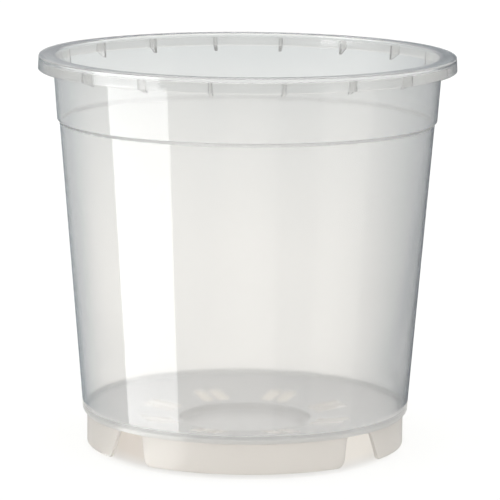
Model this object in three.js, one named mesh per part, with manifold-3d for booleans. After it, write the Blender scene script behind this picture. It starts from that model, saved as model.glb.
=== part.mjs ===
// Clear plastic orchid pot: skirted rim, stacking step, tapered wall, dished floor and four feet.
// Millimetres, +Z up. The pot stands on z = 0, centred on the Z axis, with its front towards -Y.

import * as THREE from 'three';
import { mergeVertices } from 'three/addons/utils/BufferGeometryUtils.js';
import Module from 'manifold-3d';

const wasm = await Module();
wasm.setup();

// Heights, from the ground up
const footHeight = 9.5;
const cornerHeight = 2.8;
const bodyHeight = 89.2;
const stepHeight = 1.0;
const collarHeight = 18.8;
const rimThickness = 1.2;

// Outer radii of the tapered wall, and how far each next form stands out from it
const bodyBottomRadius = 51.3;
const bodyTopRadius = 58.5;
const stepWidth = 0.75;
const collarFlare = 1.4;
const rimOverhang = 4.35;
const wallThickness = 0.9;

// Skirt that hangs from the outer edge of the rim
const skirtDepth = 3.3;
const skirtThickness = 1.1;
const skirtFlare = 0.2;
const rimEdgeRound = 1.0;

// Ribs under the rim
const ribCount = 18;
const ribThickness = 1.0;
const ribDrop = 4.8;
const ribOuterRise = 0.2;
const ribGap = 0.3;

// Floor, from the wall inwards
const floorThickness = 1.1;
const floorDrop = 4.7;
const wellRadius = 20.7;
const wellWall = 1.0;
const wellDepth = 2.6;
const wellFloorThickness = 1.0;

// Drain openings through the sloping floor
const drainCount = 8;
const drainMargin = 1.5;
const drainLength = 10.8;
const drainSlotWidth = 4.2;
const drainWeb = 1.0;
const drainCornerRadius = 1.2;

// Feet, and the notches that part them
const footSetback = 1.45;
const footThickness = 1.2;
const footLedge = 0.3;
const cornerLip = 0.4;
const notchTopWidth = 10.3;
const notchFrontFlare = 1.2;
const notchSideFlare = 4.5;

// Fineness of the round forms
const turnSteps = 72;
const footSteps = 16;
const edgeSteps = 4;
const slotCornerSteps = 2;

// Levels, worked out from the heights
const cornerZ = footHeight;
const bodyZ = cornerZ + cornerHeight;
const stepZ = bodyZ + bodyHeight;
const collarZ = stepZ + stepHeight;
const rimZ = collarZ + collarHeight;
const topZ = rimZ + rimThickness;
const skirtZ = rimZ - skirtDepth;
const wellTopZ = bodyZ - floorDrop;
const wellSeatZ = wellTopZ - floorThickness;
const wellFloorZ = wellTopZ - wellDepth;

// Radii, worked out from the wall
const collarBottomRadius = bodyTopRadius + stepWidth;
const collarTopRadius = collarBottomRadius + collarFlare;
const rimRadius = collarTopRadius + rimOverhang;
const rimInnerRadius = collarTopRadius - wallThickness;
const skirtInnerRadius = rimRadius - skirtThickness;
const bodyInnerRadius = bodyBottomRadius - wallThickness;
const footRadius = bodyBottomRadius - footSetback;
const footInnerRadius = footRadius - footThickness;
const ledgeRadius = footInnerRadius - footLedge;
const wellOuterRadius = wellRadius + wellWall;

const fullTurn = 2 * Math.PI;
const quarterTurn = Math.PI / 2;

const clearPlastic = {
  color: 0xdfe5e8,
  roughness: 0.25,
  metalness: 0,
  transparent: true,
  opacity: 0.5,
};

const pot = new THREE.Group();

function addPiece(name, geometry, turn = 0) {
  const piece = new THREE.Mesh(geometry, new THREE.MeshStandardMaterial(clearPlastic));
  piece.name = name;
  piece.rotation.z = turn;
  pot.add(piece);
}

// Turns a profile of radius and height pairs, listed anticlockwise, into a solid about the Z axis
function turned(profile) {
  const points = profile.map(([radius, z]) => new THREE.Vector2(radius, z));
  const geometry = new THREE.LatheGeometry(points, turnSteps);
  geometry.rotateX(quarterTurn);
  return geometry;
}

function closed(profile) {
  return [...profile, profile[0]];
}

// Quarter of an ellipse as radius and height pairs, between two angles about its centre
function arc(centreRadius, centreZ, reach, rise, fromAngle, toAngle) {
  const points = [];
  for (let i = 0; i <= edgeSteps; i += 1) {
    const angle = THREE.MathUtils.lerp(fromAngle, toAngle, i / edgeSteps);
    points.push([centreRadius + reach * Math.cos(angle), centreZ + rise * Math.sin(angle)]);
  }
  return points;
}

function toSolid(geometry) {
  const bare = geometry.clone();
  bare.deleteAttribute('normal');
  bare.deleteAttribute('uv');
  const merged = mergeVertices(bare);
  const mesh = new wasm.Mesh({
    numProp: 3,
    vertProperties: new Float32Array(merged.attributes.position.array),
    triVerts: new Uint32Array(merged.index.array),
  });
  return new wasm.Manifold(mesh);
}

function toGeometry(solid) {
  const mesh = solid.getMesh();
  const geometry = new THREE.BufferGeometry();
  geometry.setAttribute('position', new THREE.BufferAttribute(mesh.vertProperties, mesh.numProp));
  geometry.setIndex(new THREE.BufferAttribute(mesh.triVerts, 1));
  geometry.computeVertexNormals();
  return geometry;
}

// Rectangle with round corners, centred on the origin
function roundedSlot(width, length, radius) {
  const x = width / 2 - radius;
  const y = length / 2 - radius;
  const slot = new THREE.Shape();
  slot.absarc(x, y, radius, 0, quarterTurn);
  slot.absarc(-x, y, radius, quarterTurn, 2 * quarterTurn);
  slot.absarc(-x, -y, radius, 2 * quarterTurn, 3 * quarterTurn);
  slot.absarc(x, -y, radius, 3 * quarterTurn, fullTurn);
  return slot;
}

// Rim: a flat flange whose rounded outer edge turns down into the skirt
function rimGeometry() {
  const roundRadius = Math.min(rimEdgeRound, rimThickness, skirtThickness);
  return turned(closed([
    [rimInnerRadius, rimZ],
    [skirtInnerRadius, rimZ],
    [skirtInnerRadius + skirtFlare, skirtZ],
    [rimRadius + skirtFlare, skirtZ],
    ...arc(rimRadius - roundRadius, topZ - roundRadius, roundRadius, roundRadius, 0, quarterTurn),
    [rimInnerRadius, topZ],
  ]));
}

// A rib is a thin plate that hangs from the flange, between the collar and the skirt
function ribGeometry() {
  const collarRadiusAt = (z) => THREE.MathUtils.mapLinear(z, collarZ, rimZ, collarBottomRadius, collarTopRadius);
  const skirtRadiusAt = (z) => skirtInnerRadius + THREE.MathUtils.mapLinear(z, skirtZ, rimZ, skirtFlare, 0);
  const lowZ = rimZ - ribDrop;
  const outerLowZ = skirtZ + ribOuterRise;
  const outline = new THREE.Shape([
    new THREE.Vector2(collarRadiusAt(lowZ) + ribGap, lowZ),
    new THREE.Vector2(skirtRadiusAt(outerLowZ) - ribGap, outerLowZ),
    new THREE.Vector2(skirtInnerRadius - ribGap, rimZ),
    new THREE.Vector2(collarTopRadius + ribGap, rimZ),
  ]);
  const geometry = new THREE.ExtrudeGeometry(outline, { depth: ribThickness, bevelEnabled: false });
  geometry.translate(0, 0, -ribThickness / 2);
  geometry.rotateX(quarterTurn);
  geometry.rotateZ(-quarterTurn);
  return geometry;
}

// Wall sections are cones with a flat ring at each end
function wallGeometry(lowRadius, lowZ, highRadius, highZ) {
  return turned(closed([
    [lowRadius - wallThickness, lowZ],
    [lowRadius, lowZ],
    [highRadius, highZ],
    [highRadius - wallThickness, highZ],
  ]));
}

// The floor pan takes in the rounded bottom corner, and slopes down to the seat of the well
function floorPanGeometry() {
  const cornerRadius = footRadius + cornerLip;
  const cornerReach = bodyBottomRadius - cornerRadius;
  const slope = floorDrop / (bodyInnerRadius - wellOuterRadius);
  const ledgeZ = wellSeatZ + slope * (ledgeRadius - wellOuterRadius);
  const pan = toSolid(turned(closed([
    [ledgeRadius, cornerZ],
    ...arc(cornerRadius, bodyZ, cornerReach, cornerHeight, -quarterTurn, 0),
    [bodyInnerRadius, bodyZ],
    [wellOuterRadius, wellTopZ],
    [wellRadius, wellTopZ],
    [wellRadius, wellSeatZ],
    [wellOuterRadius, wellSeatZ],
    [ledgeRadius, ledgeZ],
  ])));
  return toGeometry(pan.subtract(drainCutter()));
}

// Each drain opening is two slots side by side, with the web standing between them
function drainCutter() {
  const radius = Math.min(drainCornerRadius, drainSlotWidth / 2);
  const slot = new THREE.ExtrudeGeometry(roundedSlot(drainSlotWidth, drainLength, radius), {
    depth: bodyZ,
    bevelEnabled: false,
    curveSegments: slotCornerSteps,
  });
  const middleRadius = wellOuterRadius + drainMargin + drainLength / 2;
  const slots = [];
  for (let i = 0; i < drainCount; i += 1) {
    for (const side of [-1, 1]) {
      const cutter = slot.clone();
      cutter.translate(side * (drainSlotWidth + drainWeb) / 2, -middleRadius, 0);
      cutter.rotateZ((i + 0.5) * fullTurn / drainCount);
      slots.push(toSolid(cutter));
    }
  }
  return slots.reduce((joined, cutter) => joined.add(cutter));
}

// Well: a shallow cup under the middle of the floor
function wellGeometry() {
  return turned([
    [0, wellFloorZ - wellFloorThickness],
    [wellOuterRadius, wellFloorZ - wellFloorThickness],
    [wellOuterRadius, wellSeatZ],
    [wellRadius, wellSeatZ],
    [wellRadius, wellFloorZ],
    [0, wellFloorZ],
  ]);
}

// A foot is a curved block facing -Y, narrower at the ground, because the notches flare downwards
function footGeometry(footCount, flare) {
  const halfShare = Math.PI / footCount;
  const lowHalf = halfShare - Math.asin((notchTopWidth / 2 + flare) / footRadius);
  const highHalf = halfShare - Math.asin(notchTopWidth / 2 / footRadius);
  const corners = [
    [footInnerRadius, 0, lowHalf],
    [footRadius, 0, lowHalf],
    [footRadius, footHeight, highHalf],
    [footInnerRadius, footHeight, highHalf],
  ];
  const positions = [];
  for (let i = 0; i <= footSteps; i += 1) {
    const share = THREE.MathUtils.lerp(-1, 1, i / footSteps);
    for (const [radius, z, half] of corners) {
      positions.push(radius * Math.sin(share * half), -radius * Math.cos(share * half), z);
    }
  }
  const indices = [];
  const addQuad = (a, b, c, d) => indices.push(a, b, c, a, c, d);
  for (let i = 0; i < footSteps; i += 1) {
    for (let j = 0; j < corners.length; j += 1) {
      const next = (j + 1) % corners.length;
      const here = i * corners.length;
      const there = here + corners.length;
      addQuad(here + j, there + j, there + next, here + next);
    }
  }
  const last = footSteps * corners.length;
  addQuad(0, 1, 2, 3);
  addQuad(last + 3, last + 2, last + 1, last);
  const geometry = new THREE.BufferGeometry();
  geometry.setAttribute('position', new THREE.Float32BufferAttribute(positions, 3));
  geometry.setIndex(indices);
  geometry.computeVertexNormals();
  return geometry;
}

addPiece('rim', rimGeometry());
for (let i = 0; i < ribCount; i += 1) {
  const number = String(i + 1).padStart(2, '0');
  addPiece(`rim_rib_${number}`, ribGeometry(), (i + 0.5) * fullTurn / ribCount);
}
addPiece('collar_wall', wallGeometry(collarBottomRadius, collarZ, collarTopRadius, rimZ));
addPiece('stacking_step', wallGeometry(bodyTopRadius, stepZ, collarBottomRadius, collarZ));
addPiece('body_wall', wallGeometry(bodyBottomRadius, bodyZ, bodyTopRadius, stepZ));
addPiece('floor_pan', floorPanGeometry());
addPiece('floor_well', wellGeometry());

const footNames = ['foot_front', 'foot_right', 'foot_back', 'foot_left'];
const flares = [notchFrontFlare, notchSideFlare];
footNames.forEach((name, i) => {
  const flare = flares[i % flares.length];
  addPiece(name, footGeometry(footNames.length, flare), i * fullTurn / footNames.length);
});

export default pot;
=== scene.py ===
"""Clear plastic orchid pot, moulded in milky polypropylene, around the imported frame.

Metres, +Z up, front at -Y. An azimuth is in degrees from the front, positive to the right.
"""

import math

import bpy
import bmesh
from mathutils import Matrix, Vector


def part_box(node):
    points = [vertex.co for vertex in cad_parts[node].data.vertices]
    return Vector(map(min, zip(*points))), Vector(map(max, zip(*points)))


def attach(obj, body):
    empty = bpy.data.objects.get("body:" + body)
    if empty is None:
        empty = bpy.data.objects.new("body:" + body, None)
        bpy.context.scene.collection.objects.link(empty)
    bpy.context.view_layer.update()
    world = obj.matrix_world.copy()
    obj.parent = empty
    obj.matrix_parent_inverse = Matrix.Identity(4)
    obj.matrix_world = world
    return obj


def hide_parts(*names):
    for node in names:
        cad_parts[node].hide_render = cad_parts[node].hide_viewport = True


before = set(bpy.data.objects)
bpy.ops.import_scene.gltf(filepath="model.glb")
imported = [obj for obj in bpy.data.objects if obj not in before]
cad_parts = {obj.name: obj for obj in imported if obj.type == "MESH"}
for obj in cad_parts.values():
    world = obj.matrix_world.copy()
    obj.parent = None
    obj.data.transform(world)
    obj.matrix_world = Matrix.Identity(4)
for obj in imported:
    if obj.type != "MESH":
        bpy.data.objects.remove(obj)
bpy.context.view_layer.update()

MM = 0.001
TURN = 2 * math.pi
QUARTER = TURN / 4

# Fineness of the forms. An edge that turns by more degrees than SHARP is shaded as sharp
TURN_STEPS = 288
FILLET_STEPS = 5
COLLAR_ROWS = 4
STEP_ROWS = 2
BODY_ROWS = 24
FOOT_STEPS = 72
FOOT_END_STEPS = 4
FOOT_ROWS = 6
STAGE_STEPS = 24
PAPER_STEPS = 64
SHARP = 35
FOOT_SHARP = 40

# A fillet takes at most this share of the edge on either side of it
FILLET_REACH = 0.49

# Hair gap between neighbouring sections, so that their faces never coincide
SEAM = 0.01 * MM

# Thicknesses of the moulding, which the frame's boxes don't give
WALL = 0.9 * MM
SKIRT_THICKNESS = 1.1 * MM
FLOOR_THICKNESS = 1.1 * MM
FOOT_THICKNESS = 1.2 * MM
RIB_THICKNESS = 0.9 * MM
WELL_WALL = 1.0 * MM
WELL_FLOOR = 1.0 * MM

# Rim: the skirt's flare and the roundings of the section
SKIRT_FLARE = 0.2 * MM
SKIRT_ROOT_ROUND = 0.5 * MM
SKIRT_ROUND = 0.3 * MM
RIM_ROUND = 1.0 * MM
MOUTH_ROUND = 0.4 * MM

# Ribs: their gaps to the collar and the skirt, their rise over the skirt's edge, and their roundings
RIB_COUNT = 18
RIB_COLLAR_GAP = 0.03 * MM
RIB_SKIRT_GAP = 0.05 * MM
RIB_RISE = 0.3 * MM
RIB_INNER_ROUND = 0.15 * MM
RIB_OUTER_ROUND = 0.5 * MM
RIB_ROOT_ROUND = 0.4 * MM

# Bottom corner: the ledge inside the feet, the lip outside them, and the round up to the wall
FOOT_LEDGE = 0.3 * MM
CORNER_LIP = 0.4 * MM
CORNER_INSET = 0.1 * MM
CORNER_RISE = 1.2 * MM
LEDGE_ROUND = 0.2 * MM
LIP_ROUND = 0.3 * MM
CORNER_ROUND = 1.6 * MM
CORNER_INNER_ROUND = 1.8 * MM

# Dished floor: its outer edge from the wall's inner foot, and the mouth and bottom of the well
DISH_INSET = 0.5 * MM
DISH_DROP = 0.9 * MM
MOUTH_OUTER_ROUND = 0.6 * MM
MOUTH_INNER_ROUND = 0.3 * MM
WELL_OUTER_ROUND = 0.8 * MM
WELL_INNER_ROUND = 0.6 * MM

# Drain openings: a ring round the well, each parted in two slots by a web
DRAIN_COUNT = 8
DRAIN_MARGIN = 1.5 * MM
DRAIN_LENGTH = 10.8 * MM
DRAIN_SLOT = 4.2 * MM
DRAIN_WEB = 1.0 * MM
DRAIN_CORNER = 1.2 * MM

# Feet: the notch between two, how much wider it is at the ground, and the roundings of a foot
NOTCH_TOP = 10.3 * MM
NOTCH_FRONT_FLARE = 1.2 * MM
NOTCH_SIDE_FLARE = 4.5 * MM
FOOT_FRONT_ROUND = 2.6 * MM
FOOT_SIDE_ROUND = 1.0 * MM
FOOT_ROOT_ROUND = 0.9 * MM
FOOT_END_ROUND = 0.2 * MM
FOOT_EDGE_ROUND = 0.35 * MM

# Plastics: their colours, and their haze, the share of light that they scatter as a matt surface does
CLEAR_COLOUR = (0.97, 0.965, 0.955)
CLEAR_HAZE = 0.11
# The corner's colour is greyer than the wall's: painted shade in the bottom corner
CORNER_PAINTED_SHADE = (0.89, 0.89, 0.88)
CORNER_HAZE = 0.4
# The feet's colour is warmer than the wall's: painted warm light from the table under the pot
FOOT_WARM_LIGHT_TINT = (0.94, 0.915, 0.88)
FOOT_HAZE = 0.35
FROSTED_COLOUR = (0.98, 0.97, 0.96)
FROSTED_HAZE = 0.9

# Plastics: the colour and the densities of the absorbing body, and the refraction
BODY_COLOUR = (0.1, 0.264, 0.34)
CLEAR_DENSITY = 20
MILKY_DENSITY = 4
IOR = 1.49

# Plastics: faint clouds in the tint and in the roughness
CLOUD_SCALE = 22
CLOUD_DETAIL = 3
CLOUD_SHADE = 0.985
CLOUD_ROUGHNESS = (0.8, 1.2)

# Roughness of a face by its satin share, from 0 to 1, and the satin share of each section's faces
GLOSSY = 0.06
SATIN = 0.35
WALL_INSIDE = 0.1
RIM_TOP = 0.1
RIM_SIDE = 0.25
RIBS = 0.6
STEP = 1.0
CORNER = 0.8
DISH = 0.2
WELL = 0.2
FEET = 1.0

# A face looks into the pot if its normal points this much inwards or upwards
LOOKS_IN = 0.5
LOOKS_UP = 0.7

# Light paths, long enough for the many walls of a clear pot
BOUNCES = 24
GLOSSY_BOUNCES = 8
OPEN_BOUNCES = 16

# Surround: the light that it casts, and the white that is seen
AMBIENT = (1, 1, 1)
BACKGROUND = (1, 1, 0.99)

# Table: its matt colour as it is seen, and for light that has met a matt surface before.
# It lies a hair under the ground
TABLE_REACH = 12
TABLE_DEPTH = 0.02 * MM
TABLE_GREY = (0.35, 0.35, 0.35)
TABLE_BOUNCE = (0.97, 0.96, 0.94)
TABLE_ROUGHNESS = 0.9

# Table's glow through the plastic: near the pot, fading to far off, and under the pot, where it is darker as
# painted shade of the pot
GLOW_NEAR = (0.83, 0.81, 0.775)
GLOW_FAR = (0.44, 0.475, 0.48)
GLOW_UNDER_SHADED = (0.5, 0.48, 0.45)
FADE = (0.35, 1.1)
UNDER_EDGE = 2 * MM

# Two darker strips in that glow, left and right. Their places are slants: the way to the side over the
# sum of STRIP_FROM and the way from the axis. At the slants of its EDGE a strip begins and is full, and
# at those of its END it begins to fade and is gone
STRIP_FROM = 0.55
LEFT_STRIP = (0.12, 0.17, 0.22)
LEFT_EDGE = (-0.076, -0.118)
LEFT_END = (0.12, 0.3)
RIGHT_STRIP = (0.0, 0.03, 0.06)
RIGHT_EDGE = (0.04, 0.11)
RIGHT_END = (0.22, 0.48)

# Table's glow in the camera's eye: in the open, in a painted contact shadow that reaches out in front of the
# feet, and in painted shade under the left and the right of the pot
SEEN_OPEN = (0.71, 0.71, 0.7)
SEEN_CONTACT_SHADOW = (0.5, 0.49, 0.475)
SEEN_SHADE_LEFT = (0.46, 0.415, 0.37)
SEEN_SHADE_RIGHT = (0.56, 0.53, 0.485)
CONTACT_SHADOW_REACH = 9 * MM

# Cards on a circle round the table, each with the azimuths it reaches between and its colour.
# The low ones leave an opening behind the pot, and the high ones hang over it
CARD_R = 1.6
LOW_CARD_HEIGHTS = (-1.2, 0.05)
HIGH_CARD_HEIGHTS = (0.15, 0.5)
DARK_CARD = (0.09, 0.11, 0.13)
LIGHT_CARD = (0.6, 0.6, 0.58)
LOW_CARDS = (
    ("left_card", -171, -49, (0.24, 0.28, 0.31)),
    ("front_light_card", -49, 19, LIGHT_CARD),
    ("front_dark_card", 19, 45, DARK_CARD),
    ("right_light_card", 45, 80, LIGHT_CARD),
    ("right_dark_card", 80, 171, DARK_CARD),
)
HIGH_CARDS = (
    ("back_right_card", 150, 175.5, (0.2, 0.23, 0.26)),
    ("back_card", 175.5, 210, (0.35, 0.37, 0.4)),
)

# Paper on the table close round the pot, and a patch of it by the left end of the front foot that glows
# brighter than white
PAPER_R = 82 * MM
PAPER_COLOUR = (0.88, 0.86, 0.83)
PAPER_DEPTH = 0.01 * MM
SHINE_AZIMUTHS = (-62, -27)
SHINE_COLOUR = (3.4, 3.4, 3.3)
SHINE_DEPTH = 0.005 * MM

# Soft lights
BOX_AZIMUTH = -67.8
BOX_DISTANCE = 0.9
BOX_Z = 0.0
BOX_WIDTH = 0.69
BOX_TALL = 1.3
BOX_RADIANCE = 5.5
FILL_AZIMUTH = -10
FILL_DISTANCE = 1.6
FILL_Z = 0.9
FILL_WIDTH = 1.2
FILL_TALL = 0.9
FILL_RADIANCE = 0.35

# The photograph's camera: lens and sensor in millimetres, tip and roll in degrees
LENS = 253.3
SENSOR = 36
CAMERA_PLACE = Vector((1.18, -1088.8, 246.9)) * MM
CAMERA_TIP = 9.706
CAMERA_ROLL = 0.47
CAMERA_REACH = 100

# Sockets of a Mix node that mixes colours, which its names don't tell apart
MIX_SHARE = 0
MIX_FIRST = 6
MIX_SECOND = 7
MIX_RESULT = 2

# Sizes that the frame gives
rim_low, rim_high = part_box("rim")
_, collar_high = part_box("collar_wall")
_, step_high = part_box("stacking_step")
body_low, body_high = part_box("body_wall")
_, pan_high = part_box("floor_pan")
well_low, well_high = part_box("floor_well")
foot_low, foot_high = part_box("foot_front")

RIM_R = rim_high.x - SKIRT_FLARE
TOP_Z = rim_high.z
SKIRT_Z = rim_low.z
RIM_Z = collar_high.z
COLLAR_TOP_R = collar_high.x
COLLAR_R = step_high.x
COLLAR_Z = step_high.z
STEP_R = body_high.x
STEP_Z = body_high.z
BODY_R = pan_high.x
BODY_Z = body_low.z
CORNER_Z = foot_high.z
FOOT_R = -foot_low.y
GROUND_Z = foot_low.z
WELL_OUT_R = well_high.x
WELL_SEAT_Z = well_high.z
WELL_LOW_Z = well_low.z

# Sizes that follow from them
WELL_TOP_Z = WELL_SEAT_Z + FLOOR_THICKNESS
WELL_IN_R = WELL_OUT_R - WELL_WALL
INNER_R = BODY_R - WALL
LEDGE_R = FOOT_R - FOOT_THICKNESS - FOOT_LEDGE
DISH_R = INNER_R - DISH_INSET
DISH_Z = BODY_Z - DISH_DROP


def arc(centre, radius, start, end, steps):
    """Points along a circle, from one angle to another."""
    points = []
    for i in range(steps + 1):
        angle = start + (end - start) * i / steps
        points.append((centre[0] + radius * math.cos(angle), centre[1] + radius * math.sin(angle)))
    return points


def rounded(corners):
    """A closed flat outline with its corners rounded. Each corner is its two coordinates and its fillet."""
    outline = []
    count = len(corners)
    for i, (across, up, fillet) in enumerate(corners):
        if fillet == 0:
            outline.append((across, up))
            continue
        here = Vector((across, up))
        before = Vector(corners[i - 1][:2]) - here
        after = Vector(corners[(i + 1) % count][:2]) - here
        half = before.angle(after) / 2
        reach = min(fillet / math.tan(half), before.length * FILLET_REACH, after.length * FILLET_REACH)
        radius = reach * math.tan(half)
        middle = here + (before.normalized() + after.normalized()).normalized() * (radius / math.sin(half))
        first = here + before.normalized() * reach - middle
        last = here + after.normalized() * reach - middle
        start = math.atan2(first.y, first.x)
        sweep = math.atan2(last.y, last.x) - start
        sweep = (sweep + math.pi) % TURN - math.pi
        outline += arc(middle, radius, start, start + sweep, FILLET_STEPS)
    return outline


def turned(outline):
    """bmesh of a closed outline turned about the Z axis. Points on the axis close it with a fan."""
    bm = bmesh.new()
    rings = []
    for r, z in outline:
        ring = []
        steps = 1 if r == 0 else TURN_STEPS
        for i in range(steps):
            angle = TURN * i / TURN_STEPS
            ring.append(bm.verts.new((r * math.cos(angle), r * math.sin(angle), z)))
        rings.append(ring)
    for low, high in zip(rings, rings[1:] + rings[:1]):
        if len(low) == 1 and len(high) == 1:
            continue
        for i in range(TURN_STEPS):
            j = (i + 1) % TURN_STEPS
            if len(low) == 1:
                bm.faces.new((low[0], high[j], high[i]))
            elif len(high) == 1:
                bm.faces.new((low[i], low[j], high[0]))
            else:
                bm.faces.new((low[i], low[j], high[j], high[i]))
    return bm


def add_skin(bm, loops):
    """Joins each closed loop of vertices to the next one by a band of faces."""
    for here, there in zip(loops, loops[1:]):
        count = len(here)
        for j in range(count):
            k = (j + 1) % count
            bm.faces.new((here[j], there[j], there[k], here[k]))


def add_bar(bm, near, far):
    """Adds a closed bar between two like outlines of points."""
    ends = [[bm.verts.new(point) for point in outline] for outline in (near, far)]
    bm.faces.new(ends[0])
    bm.faces.new(list(reversed(ends[1])))
    add_skin(bm, ends)


def made(name, bm):
    """An object in the scene from bmesh."""
    mesh = bpy.data.meshes.new(name)
    bm.to_mesh(mesh)
    bm.free()
    piece = bpy.data.objects.new(name, mesh)
    bpy.context.scene.collection.objects.link(piece)
    return piece


def smooth(mesh, sharp=SHARP):
    """Shades a mesh smooth but for its sharp edges."""
    mesh.polygons.foreach_set("use_smooth", [True] * len(mesh.polygons))
    mesh.set_sharp_from_angle(angle=math.radians(sharp))


def finished(name, bm, sharp=SHARP):
    """A piece of the pot from bmesh, that rides on the pot's one body."""
    bmesh.ops.recalc_face_normals(bm, faces=bm.faces)
    piece = made(name, bm)
    smooth(piece.data, sharp)
    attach(piece, "root")
    return piece


def rim():
    """Flat flange, with the skirt that hangs from its outer edge."""
    skirt_r = RIM_R + SKIRT_FLARE
    outline = rounded([
        (COLLAR_TOP_R - WALL, RIM_Z + SEAM, 0),
        (RIM_R - SKIRT_THICKNESS, RIM_Z + SEAM, SKIRT_ROOT_ROUND),
        (skirt_r - SKIRT_THICKNESS, SKIRT_Z, SKIRT_ROUND),
        (skirt_r, SKIRT_Z, SKIRT_ROUND),
        (RIM_R, TOP_Z - RIM_ROUND, 0),
        (RIM_R, TOP_Z, RIM_ROUND),
        (COLLAR_TOP_R - WALL, TOP_Z, MOUTH_ROUND),
    ])
    piece = finished("rim_moulding", turned(outline))
    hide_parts("rim")
    return [piece]


def rib(number):
    """Thin plate under the flange, a hair clear of the collar and the skirt."""
    node = f"rim_rib_{number:02d}"
    low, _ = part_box(node)
    collar_slope = (COLLAR_TOP_R - COLLAR_R) / (RIM_Z - COLLAR_Z)
    inner_r = COLLAR_TOP_R + RIB_COLLAR_GAP
    outer_r = RIM_R - SKIRT_THICKNESS - RIB_SKIRT_GAP
    plate = rounded([
        (inner_r - collar_slope * (RIM_Z - low.z), low.z, RIB_INNER_ROUND),
        (outer_r + SKIRT_FLARE, SKIRT_Z + RIB_RISE, RIB_OUTER_ROUND),
        (outer_r, RIM_Z - SEAM, RIB_ROOT_ROUND),
        (inner_r, RIM_Z - SEAM, 0),
    ])
    bm = bmesh.new()
    left, right = [[(side * RIB_THICKNESS / 2, -r, z) for r, z in plate] for side in (-1, 1)]
    add_bar(bm, left, right)
    spin = Matrix.Rotation((number - 0.5) * TURN / RIB_COUNT, 3, "Z")
    bmesh.ops.rotate(bm, verts=bm.verts, cent=(0, 0, 0), matrix=spin)
    piece = finished(f"rib_moulding_{number:02d}", bm)
    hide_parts(node)
    return piece


def ribs():
    """All ribs, evenly spaced, with a gap between two of them at the front."""
    return [rib(number) for number in range(1, RIB_COUNT + 1)]


def wall(name, node, low, high, rows):
    """A cone-shaped section of the wall between two points, each (radius, height), in even rows."""
    outline = []
    for i in range(rows + 1):
        share = i / rows
        outline.append((low[0] + (high[0] - low[0]) * share, low[1] + (high[1] - low[1]) * share))
    inside = [(r - WALL, z) for r, z in reversed(outline)]
    piece = finished(name, turned(outline + inside))
    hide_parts(node)
    return [piece]


def collar_band():
    """Upper band of the wall, between the stacking step and the flange."""
    low = (COLLAR_R, COLLAR_Z + SEAM)
    high = (COLLAR_TOP_R, RIM_Z - SEAM)
    return wall("collar_band", "collar_wall", low, high, COLLAR_ROWS)


def step_band():
    """Small conical step that the next pot of a stack rests on."""
    low = (STEP_R, STEP_Z + SEAM)
    high = (COLLAR_R, COLLAR_Z - SEAM)
    return wall("step_band", "stacking_step", low, high, STEP_ROWS)


def body_shell():
    """Long tapered wall, between the bottom corner and the stacking step."""
    low = (BODY_R, BODY_Z + SEAM)
    high = (STEP_R, STEP_Z - SEAM)
    return wall("body_shell", "body_wall", low, high, BODY_ROWS)


def dish_top(r):
    """Height of the sloping floor's upper side, at a radius."""
    return WELL_TOP_Z + (DISH_Z - WELL_TOP_Z) * (r - WELL_OUT_R) / (DISH_R - WELL_OUT_R)


def dish_underside(r):
    """Height of the sloping floor's underside, at a radius."""
    return WELL_SEAT_Z + (BODY_Z - WELL_TOP_Z) * (r - WELL_OUT_R) / (INNER_R - WELL_OUT_R)


def corner_ring():
    """Rounded bottom corner of the pot, from the wall to the inner edge of the feet."""
    outline = rounded([
        (LEDGE_R, CORNER_Z + SEAM, LEDGE_ROUND),
        (FOOT_R + CORNER_LIP, CORNER_Z + SEAM, LIP_ROUND),
        (BODY_R - CORNER_INSET, CORNER_Z + CORNER_RISE, CORNER_ROUND),
        (BODY_R, BODY_Z - SEAM, 0),
        (INNER_R, BODY_Z - SEAM, 0),
        (DISH_R, DISH_Z, CORNER_INNER_ROUND),
        (LEDGE_R, dish_top(LEDGE_R), 0),
    ])
    piece = finished("corner_ring", turned(outline))
    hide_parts("floor_pan")
    return [piece]


def drain_cutter():
    """Round-cornered bars, the two slots of every drain opening, joined in one mesh."""
    half_w = DRAIN_SLOT / 2
    half_l = DRAIN_LENGTH / 2
    middle = WELL_OUT_R + DRAIN_MARGIN + half_l
    slot = rounded([
        (half_w, -half_l, DRAIN_CORNER),
        (half_w, half_l, DRAIN_CORNER),
        (-half_w, half_l, DRAIN_CORNER),
        (-half_w, -half_l, DRAIN_CORNER),
    ])
    bm = bmesh.new()
    for i in range(DRAIN_COUNT):
        spin = Matrix.Rotation((i + 0.5) * TURN / DRAIN_COUNT, 3, "Z")
        for side in (-1, 1):
            shift = Vector((side * (DRAIN_SLOT + DRAIN_WEB) / 2, -middle, 0))
            low, high = [[spin @ (Vector((x, y, z)) + shift) for x, y in slot] for z in (GROUND_Z, BODY_Z)]
            add_bar(bm, low, high)
    bmesh.ops.recalc_face_normals(bm, faces=bm.faces)
    return made("drain_cutter", bm)


def floor_dish():
    """Sloping floor within the corner ring, with the drain openings cut through it."""
    edge_r = LEDGE_R - SEAM
    outline = rounded([
        (edge_r, dish_underside(edge_r), 0),
        (edge_r, dish_top(edge_r), 0),
        (WELL_OUT_R, WELL_TOP_Z, MOUTH_OUTER_ROUND),
        (WELL_IN_R, WELL_TOP_Z, MOUTH_INNER_ROUND),
        (WELL_IN_R, WELL_SEAT_Z + SEAM, 0),
        (WELL_OUT_R, WELL_SEAT_Z + SEAM, 0),
    ])
    piece = finished("floor_dish", turned(outline))
    cutter = drain_cutter()
    cut = piece.modifiers.new("drains", "BOOLEAN")
    cut.operation = "DIFFERENCE"
    cut.solver = "EXACT"
    cut.object = cutter
    bpy.context.view_layer.update()
    done = bpy.data.meshes.new_from_object(piece.evaluated_get(bpy.context.evaluated_depsgraph_get()))
    piece.modifiers.clear()
    piece.data = done
    smooth(done)
    bpy.data.objects.remove(cutter)
    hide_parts("floor_pan")
    return [piece]


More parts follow.
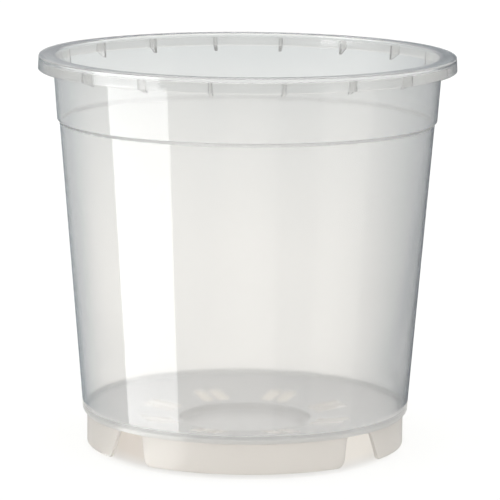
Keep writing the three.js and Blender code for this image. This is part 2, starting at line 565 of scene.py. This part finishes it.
def well_cup():
    """Round sunken well in the middle of the floor."""
    floor_z = WELL_LOW_Z + WELL_FLOOR
    outline = rounded([
        (0, WELL_LOW_Z, 0),
        (WELL_OUT_R, WELL_LOW_Z, WELL_OUTER_ROUND),
        (WELL_OUT_R, WELL_SEAT_Z - SEAM, 0),
        (WELL_IN_R, WELL_SEAT_Z - SEAM, 0),
        (WELL_IN_R, floor_z, WELL_INNER_ROUND),
        (0, floor_z, 0),
    ])
    piece = finished("well_cup", turned(outline))
    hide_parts("floor_well")
    return [piece]


def set_back(radius, way):
    """How far a rounding of this radius lies back from the full form, a way in from where it starts."""
    rest = max(0, radius - way)
    return radius - math.sqrt(radius ** 2 - rest ** 2)


def foot_heights(corner_round):
    """Heights of a foot's rows: the rounding at the ground, the straight stretch and the root."""
    straight = CORNER_Z - GROUND_Z - corner_round - FOOT_ROOT_ROUND
    shares = [i / FOOT_ROWS for i in range(FOOT_ROWS + 1)]
    ground = [GROUND_Z + corner_round * (1 - math.cos(QUARTER * share)) for share in shares]
    middle = [GROUND_Z + corner_round + straight * share for share in shares[1:]]
    root = [CORNER_Z - SEAM - FOOT_ROOT_ROUND * (1 - math.sin(QUARTER * share)) for share in shares[1:]]
    return ground + middle + root


def foot_columns(low_half):
    """Places across a foot, from end to end: (share of its half angle, share of its thickness)."""
    end_share = FOOT_END_ROUND / (FOOT_R * low_half)
    tail = [(1 - end_share, 1.0)]
    for i in range(1, FOOT_END_STEPS + 1):
        lean = QUARTER * i / FOOT_END_STEPS
        thin = FOOT_END_ROUND * (1 - math.cos(lean)) / (FOOT_THICKNESS / 2)
        tail.append((1 - end_share * (1 - math.sin(lean)), 1 - thin))
    even = [-1 + 2 * i / FOOT_STEPS for i in range(FOOT_STEPS + 1)]
    inner = [(share, 1.0) for share in even if abs(share) < 1 - end_share]
    return [(-share, thick) for share, thick in reversed(tail)] + inner + tail


def foot(node, turn, flare, corner_round):
    """A curved block facing -Y, turned into place. Its ends lean in towards the ground and are rounded."""
    low_half = QUARTER / 2 - math.asin((NOTCH_TOP / 2 + flare) / FOOT_R)
    high_half = QUARTER / 2 - math.asin(NOTCH_TOP / 2 / FOOT_R)
    middle_r = FOOT_R - FOOT_THICKNESS / 2

    def half_at(z):
        """Half of the foot's angle at a height."""
        half = low_half + (high_half - low_half) * (z - GROUND_Z) / (CORNER_Z - GROUND_Z)
        half -= set_back(corner_round, z - GROUND_Z) / FOOT_R
        half += set_back(FOOT_ROOT_ROUND, CORNER_Z - z) / FOOT_R
        return half

    heights = foot_heights(corner_round)
    bm = bmesh.new()
    columns = []
    for share, thick in foot_columns(low_half):
        column = []
        for side, rows in ((1, heights), (-1, list(reversed(heights)))):
            for z in rows:
                half_thick = (FOOT_THICKNESS / 2 - set_back(FOOT_EDGE_ROUND, z - GROUND_Z)) * thick
                r = middle_r + side * half_thick
                angle = share * half_at(z)
                column.append(bm.verts.new((r * math.sin(angle), -r * math.cos(angle), z)))
        columns.append(column)
    add_skin(bm, columns)
    for end in (columns[0], columns[-1]):
        for j in range(len(heights) - 1):
            bm.faces.new((end[j], end[j + 1], end[-2 - j], end[-1 - j]))
    bmesh.ops.rotate(bm, verts=bm.verts, cent=(0, 0, 0), matrix=Matrix.Rotation(turn, 3, "Z"))
    piece = finished(node + "_moulding", bm, FOOT_SHARP)
    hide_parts(node)
    return piece


def feet():
    """Four feet. The two at the sides lean more than the front one and the back one."""
    forms = ((NOTCH_FRONT_FLARE, FOOT_FRONT_ROUND), (NOTCH_SIDE_FLARE, FOOT_SIDE_ROUND))
    nodes = ("foot_front", "foot_right", "foot_back", "foot_left")
    return [foot(node, i * QUARTER, *forms[i % 2]) for i, node in enumerate(nodes)]


def feed(tree, socket, value):
    """Gives a socket its value: a number, a colour of three parts, or the output of another node."""
    if isinstance(value, bpy.types.NodeSocket):
        tree.links.new(value, socket)
    elif isinstance(value, (int, float)):
        socket.default_value = value
    else:
        socket.default_value = (*value, 1)


def mixed(tree, share, first, second):
    """The colour a share of the way from one colour to another."""
    node = tree.nodes.new("ShaderNodeMix")
    node.data_type = "RGBA"
    feed(tree, node.inputs[MIX_SHARE], share)
    feed(tree, node.inputs[MIX_FIRST], first)
    feed(tree, node.inputs[MIX_SECOND], second)
    return node.outputs[MIX_RESULT]


def calculated(tree, operation, *values):
    """A Math node's result from one or two values."""
    node = tree.nodes.new("ShaderNodeMath")
    node.operation = operation
    for socket, value in zip(node.inputs, values):
        feed(tree, socket, value)
    return node.outputs[0]


def ranged(tree, value, before=(0, 1), after=(0, 1), ease="LINEAR"):
    """A value carried over from one range to another."""
    node = tree.nodes.new("ShaderNodeMapRange")
    node.interpolation_type = ease
    feed(tree, node.inputs["Value"], value)
    feed(tree, node.inputs["From Min"], before[0])
    feed(tree, node.inputs["From Max"], before[1])
    feed(tree, node.inputs["To Min"], after[0])
    feed(tree, node.inputs["To Max"], after[1])
    return node.outputs["Result"]


def distance(tree, place, centre=(0, 0, 0)):
    """How far a place is from a point."""
    node = tree.nodes.new("ShaderNodeVectorMath")
    node.operation = "DISTANCE"
    node.inputs[1].default_value = centre
    tree.links.new(place, node.inputs[0])
    return node.outputs["Value"]


def node_material(name):
    """A new material, its node tree and its shader."""
    mat = bpy.data.materials.new(name)
    mat.use_nodes = True
    tree = mat.node_tree
    return mat, tree, tree.nodes["Principled BSDF"]


def plastic(name, colour, haze, density):
    """Milky clear polypropylene over a faint absorbing body. The satin attribute dulls its gloss."""
    mat, tree, shader = node_material(name)

    where = tree.nodes.new("ShaderNodeTexCoord")
    noise = tree.nodes.new("ShaderNodeTexNoise")
    noise.inputs["Scale"].default_value = CLOUD_SCALE
    noise.inputs["Detail"].default_value = CLOUD_DETAIL
    tree.links.new(where.outputs["Object"], noise.inputs["Vector"])
    cloud = noise.outputs["Fac"]
    tint = mixed(tree, cloud, [part * CLOUD_SHADE for part in colour], colour)
    feed(tree, shader.inputs["Base Color"], tint)

    satin = tree.nodes.new("ShaderNodeAttribute")
    satin.attribute_name = "satin"
    finish = ranged(tree, satin.outputs["Fac"], after=(GLOSSY, SATIN))
    uneven = ranged(tree, cloud, after=CLOUD_ROUGHNESS)
    feed(tree, shader.inputs["Roughness"], calculated(tree, "MULTIPLY", finish, uneven))

    shader.inputs["IOR"].default_value = IOR
    shader.inputs["Transmission Weight"].default_value = 1 - haze

    body = tree.nodes.new("ShaderNodeVolumeAbsorption")
    feed(tree, body.inputs["Color"], BODY_COLOUR)
    body.inputs["Density"].default_value = density
    tree.links.new(body.outputs["Volume"], tree.nodes["Material Output"].inputs["Volume"])
    return mat


def clear_plastic():
    """Plastic of the rim, the ribs and the wall."""
    return plastic("clear_polypropylene", CLEAR_COLOUR, CLEAR_HAZE, CLEAR_DENSITY)


def frosted_plastic():
    """Plastic of the dished floor and its well."""
    return plastic("frosted_polypropylene", FROSTED_COLOUR, FROSTED_HAZE, MILKY_DENSITY)


def warm_lit_foot_plastic():
    """Plastic of the feet, tinted warm: painted warm light from the table under the pot."""
    return plastic("foot_polypropylene_warm_lit", FOOT_WARM_LIGHT_TINT, FOOT_HAZE, MILKY_DENSITY)


def shaded_corner_plastic():
    """Plastic of the bottom corner, greyer than the wall's: painted shade in the corner."""
    return plastic("corner_polypropylene_painted_shade", CORNER_PAINTED_SHADE, CORNER_HAZE, CLEAR_DENSITY)


def dress(pieces, material, inside=0.0, outside=0.0):
    """Puts a plastic on, with the satin share of the faces that look into the pot and of the others."""
    for piece in pieces:
        mesh = piece.data
        mesh.materials.clear()
        mesh.materials.append(material)
        satin = mesh.attributes.new("satin", "FLOAT", "FACE")
        for face in mesh.polygons:
            outward = Vector((face.center.x, face.center.y, 0)).normalized()
            looks_in = face.normal.dot(outward) < -LOOKS_IN or face.normal.z > LOOKS_UP
            satin.data[face.index].value = inside if looks_in else outside


def stage_piece(name, bm):
    """An object of the studio, which isn't part of the pot."""
    piece = made(name, bm)
    return piece


def unscattered(tree, path):
    """1 for a ray that has met no matt surface yet, else 0."""
    return calculated(tree, "LESS_THAN", path.outputs["Diffuse Depth"], 1)


def background_rays(tree):
    """1 for rays from the camera, off a gloss or through clear plastic, with no matt surface on the way."""
    path = tree.nodes.new("ShaderNodeLightPath")
    direct = calculated(tree, "MAXIMUM", path.outputs["Is Camera Ray"], path.outputs["Is Glossy Ray"])
    direct = calculated(tree, "MAXIMUM", direct, path.outputs["Is Transmission Ray"])
    return calculated(tree, "MULTIPLY", direct, unscattered(tree, path))


def with_strips(tree, glow, far, across):
    """The table's glow with its two darker strips, which run past the pot on the left and on the right."""
    slant = calculated(tree, "DIVIDE", across, calculated(tree, "ADD", far, STRIP_FROM))
    away = calculated(tree, "ABSOLUTE", slant)
    strips = ((LEFT_STRIP, LEFT_EDGE, LEFT_END), (RIGHT_STRIP, RIGHT_EDGE, RIGHT_END))
    for colour, edge, (fades, gone) in strips:
        begun = ranged(tree, slant, edge, ease="SMOOTHSTEP")
        there = ranged(tree, away, (gone, fades), ease="SMOOTHSTEP")
        glow = mixed(tree, calculated(tree, "MULTIPLY", begun, there), glow, colour)
    return glow


def camera_glow(tree, place, far, across):
    """The table's glow in the camera's eye, with painted shade under the pot and a painted shadow just in
    front of it.
    """
    sideways = ranged(tree, across, (-FOOT_R / 2, FOOT_R / 2))
    # Painted shade under the pot, darker on the left
    painted_shade_beneath = mixed(tree, sideways, SEEN_SHADE_LEFT, SEEN_SHADE_RIGHT)
    ring = (FOOT_R - CONTACT_SHADOW_REACH, FOOT_R)
    # Painted contact shadow, reaching out in front of the feet
    clear_of_contact_shadow = ranged(tree, distance(tree, place, (0, -CONTACT_SHADOW_REACH, 0)), ring, ease="SMOOTHSTEP")
    outside = mixed(tree, clear_of_contact_shadow, SEEN_CONTACT_SHADOW, SEEN_OPEN)
    return mixed(tree, ranged(tree, far, ring), painted_shade_beneath, outside)


def table_paper():
    """White paper that glows, in one tone for the camera and in another through the plastic.

    Under the pot its glow is darker, painted shade of the pot, and only there does it light matt surfaces
    too.
    """
    mat, tree, shader = node_material("floor_paper")
    shader.inputs["Roughness"].default_value = TABLE_ROUGHNESS
    shader.inputs["Specular IOR Level"].default_value = 0
    path = tree.nodes.new("ShaderNodeLightPath")
    feed(tree, shader.inputs["Base Color"], mixed(tree, unscattered(tree, path), TABLE_BOUNCE, TABLE_GREY))

    place = tree.nodes.new("ShaderNodeNewGeometry").outputs["Position"]
    parts = tree.nodes.new("ShaderNodeSeparateXYZ")
    tree.links.new(place, parts.inputs[0])
    across = parts.outputs["X"]
    far = distance(tree, place)
    outside = ranged(tree, far, (FOOT_R - UNDER_EDGE, FOOT_R))

    open_glow = mixed(tree, ranged(tree, far, FADE), GLOW_NEAR, GLOW_FAR)
    # Under the pot the glow is darker: painted shade of the pot
    through = mixed(tree, outside, GLOW_UNDER_SHADED, with_strips(tree, open_glow, far, across))
    seen = camera_glow(tree, place, far, across)
    feed(tree, shader.inputs["Emission Color"], mixed(tree, path.outputs["Is Camera Ray"], through, seen))

    under = calculated(tree, "SUBTRACT", 1, outside)
    strength = calculated(tree, "MAXIMUM", background_rays(tree), under)
    feed(tree, shader.inputs["Emission Strength"], strength)
    return mat


def table():
    """The table that the pot stands on. Gloss sees the cards and the paper instead."""
    bm = bmesh.new()
    bmesh.ops.create_grid(bm, x_segments=1, y_segments=1, size=TABLE_REACH)
    floor = stage_piece("floor", bm)
    floor.location.z = GROUND_Z - TABLE_DEPTH
    floor.visible_glossy = False
    floor.data.materials.append(table_paper())


def surround():
    """White all round, with one white for what is seen and one for the light on matt surfaces."""
    world = bpy.data.worlds.new("studio")
    bpy.context.scene.world = world
    world.use_nodes = True
    tree = world.node_tree
    light = tree.nodes["Background"]
    seen = tree.nodes.new("ShaderNodeBackground")
    feed(tree, light.inputs["Color"], AMBIENT)
    feed(tree, seen.inputs["Color"], BACKGROUND)
    mix = tree.nodes.new("ShaderNodeMixShader")
    for socket, output in zip(mix.inputs, (background_rays(tree), light.outputs[0], seen.outputs[0])):
        tree.links.new(output, socket)
    tree.links.new(mix.outputs[0], tree.nodes["World Output"].inputs["Surface"])


def gloss_only(piece, colour):
    """Makes a stage piece glow in one colour, for gloss alone."""
    piece.visible_camera = False
    piece.visible_diffuse = False
    piece.visible_transmission = False
    piece.visible_shadow = False
    mat, tree, shader = node_material(piece.name)
    feed(tree, shader.inputs["Base Color"], (0, 0, 0))
    shader.inputs["Specular IOR Level"].default_value = 0
    shader.inputs["Roughness"].default_value = 1
    feed(tree, shader.inputs["Emission Color"], colour)
    shader.inputs["Emission Strength"].default_value = 1
    piece.data.materials.append(mat)


def bent_strip(name, azimuths, edges, colour):
    """A gloss-only strip round the Z axis between two azimuths. Each of its two edges is (radius, height)."""
    start, end = azimuths
    bm = bmesh.new()
    lines = []
    for r, z in edges:
        line = []
        for i in range(STAGE_STEPS + 1):
            angle = math.radians(start + (end - start) * i / STAGE_STEPS)
            line.append(bm.verts.new((r * math.sin(angle), -r * math.cos(angle), z)))
        lines.append(line)
    first, second = lines
    for i in range(STAGE_STEPS):
        bm.faces.new((first[i], first[i + 1], second[i + 1], second[i]))
    gloss_only(stage_piece(name, bm), colour)


def cards():
    """Cards round the table, mostly dark, so that the clear wall keeps its edges."""
    for (bottom, top), group in ((LOW_CARD_HEIGHTS, LOW_CARDS), (HIGH_CARD_HEIGHTS, HIGH_CARDS)):
        for name, start, end, colour in group:
            bent_strip(name, (start, end), ((CARD_R, bottom), (CARD_R, top)), colour)


def near_paper():
    """A white disc on the table close round the pot, which the gloss of the feet shows."""
    bm = bmesh.new()
    bmesh.ops.create_circle(bm, cap_ends=True, segments=PAPER_STEPS, radius=PAPER_R)
    disc = stage_piece("near_paper", bm)
    disc.location.z = GROUND_Z - PAPER_DEPTH
    gloss_only(disc, PAPER_COLOUR)


def near_shine():
    """A patch of that paper, seen in gloss alone, that glows brighter than white though it is no lamp: a
    painted highlight on the left end of the front foot.
    """
    z = GROUND_Z - SHINE_DEPTH
    bent_strip("near_shine", SHINE_AZIMUTHS, ((PAPER_R, z), (FOOT_R, z)), SHINE_COLOUR)


def softbox(name, azimuth, away, height, width, tall, radiance):
    """A soft light that faces the pot's axis."""
    lamp = bpy.data.lights.new(name, "AREA")
    lamp.shape = "RECTANGLE"
    lamp.size = width
    lamp.size_y = tall
    lamp.energy = radiance * math.pi * width * tall
    light = bpy.data.objects.new(name, lamp)
    angle = math.radians(azimuth)
    light.location = (away * math.sin(angle), -away * math.cos(angle), height)
    aim = Vector((0, 0, height)) - light.location
    light.rotation_euler = aim.to_track_quat("-Z", "Y").to_euler()
    light.visible_camera = False
    light.visible_transmission = False
    bpy.context.scene.collection.objects.link(light)
    return light


def tall_softbox():
    """The tall light on the left, whose image is the bright upright band."""
    light = softbox("tall_softbox", BOX_AZIMUTH, BOX_DISTANCE, BOX_Z, BOX_WIDTH, BOX_TALL, BOX_RADIANCE)
    light.visible_diffuse = False


def front_fill():
    """A weak light in front and above."""
    softbox("front_fill", FILL_AZIMUTH, FILL_DISTANCE, FILL_Z, FILL_WIDTH, FILL_TALL, FILL_RADIANCE)


def stage():
    """The photograph's studio: white table and surround, cards and paper for gloss, and two soft lights."""
    scene = bpy.context.scene
    scene.view_settings.view_transform = "Standard"
    scene.cycles.max_bounces = BOUNCES
    scene.cycles.transmission_bounces = BOUNCES
    scene.cycles.glossy_bounces = GLOSSY_BOUNCES
    scene.cycles.transparent_max_bounces = OPEN_BOUNCES
    table()
    surround()
    cards()
    near_paper()
    near_shine()
    tall_softbox()
    front_fill()


def camera():
    """The photograph's view: a long lens, a little above the pot and tipped down."""
    data = bpy.data.cameras.new("camera")
    data.sensor_width = SENSOR
    data.lens = LENS
    data.clip_end = CAMERA_REACH
    view = bpy.data.objects.new("camera", data)
    tip = Matrix.Rotation(QUARTER - math.radians(CAMERA_TIP), 4, "X")
    roll = Matrix.Rotation(math.radians(CAMERA_ROLL), 4, "Z")
    view.matrix_world = Matrix.Translation(CAMERA_PLACE) @ tip @ roll
    bpy.context.scene.collection.objects.link(view)
    bpy.context.scene.camera = view


def pot():
    """All sections of the pot, each in its plastic."""
    clear = clear_plastic()
    frosted = frosted_plastic()
    dress(rim(), clear, RIM_TOP, RIM_SIDE)
    dress(ribs(), clear, RIBS, RIBS)
    dress(collar_band(), clear, WALL_INSIDE)
    dress(step_band(), clear, STEP, STEP)
    dress(body_shell(), clear, WALL_INSIDE)
    dress(corner_ring(), shaded_corner_plastic(), CORNER, CORNER)
    dress(floor_dish(), frosted, DISH, DISH)
    dress(well_cup(), frosted, WELL, WELL)
    dress(feet(), warm_lit_foot_plastic(), FEET, FEET)


camera()
stage()
pot()
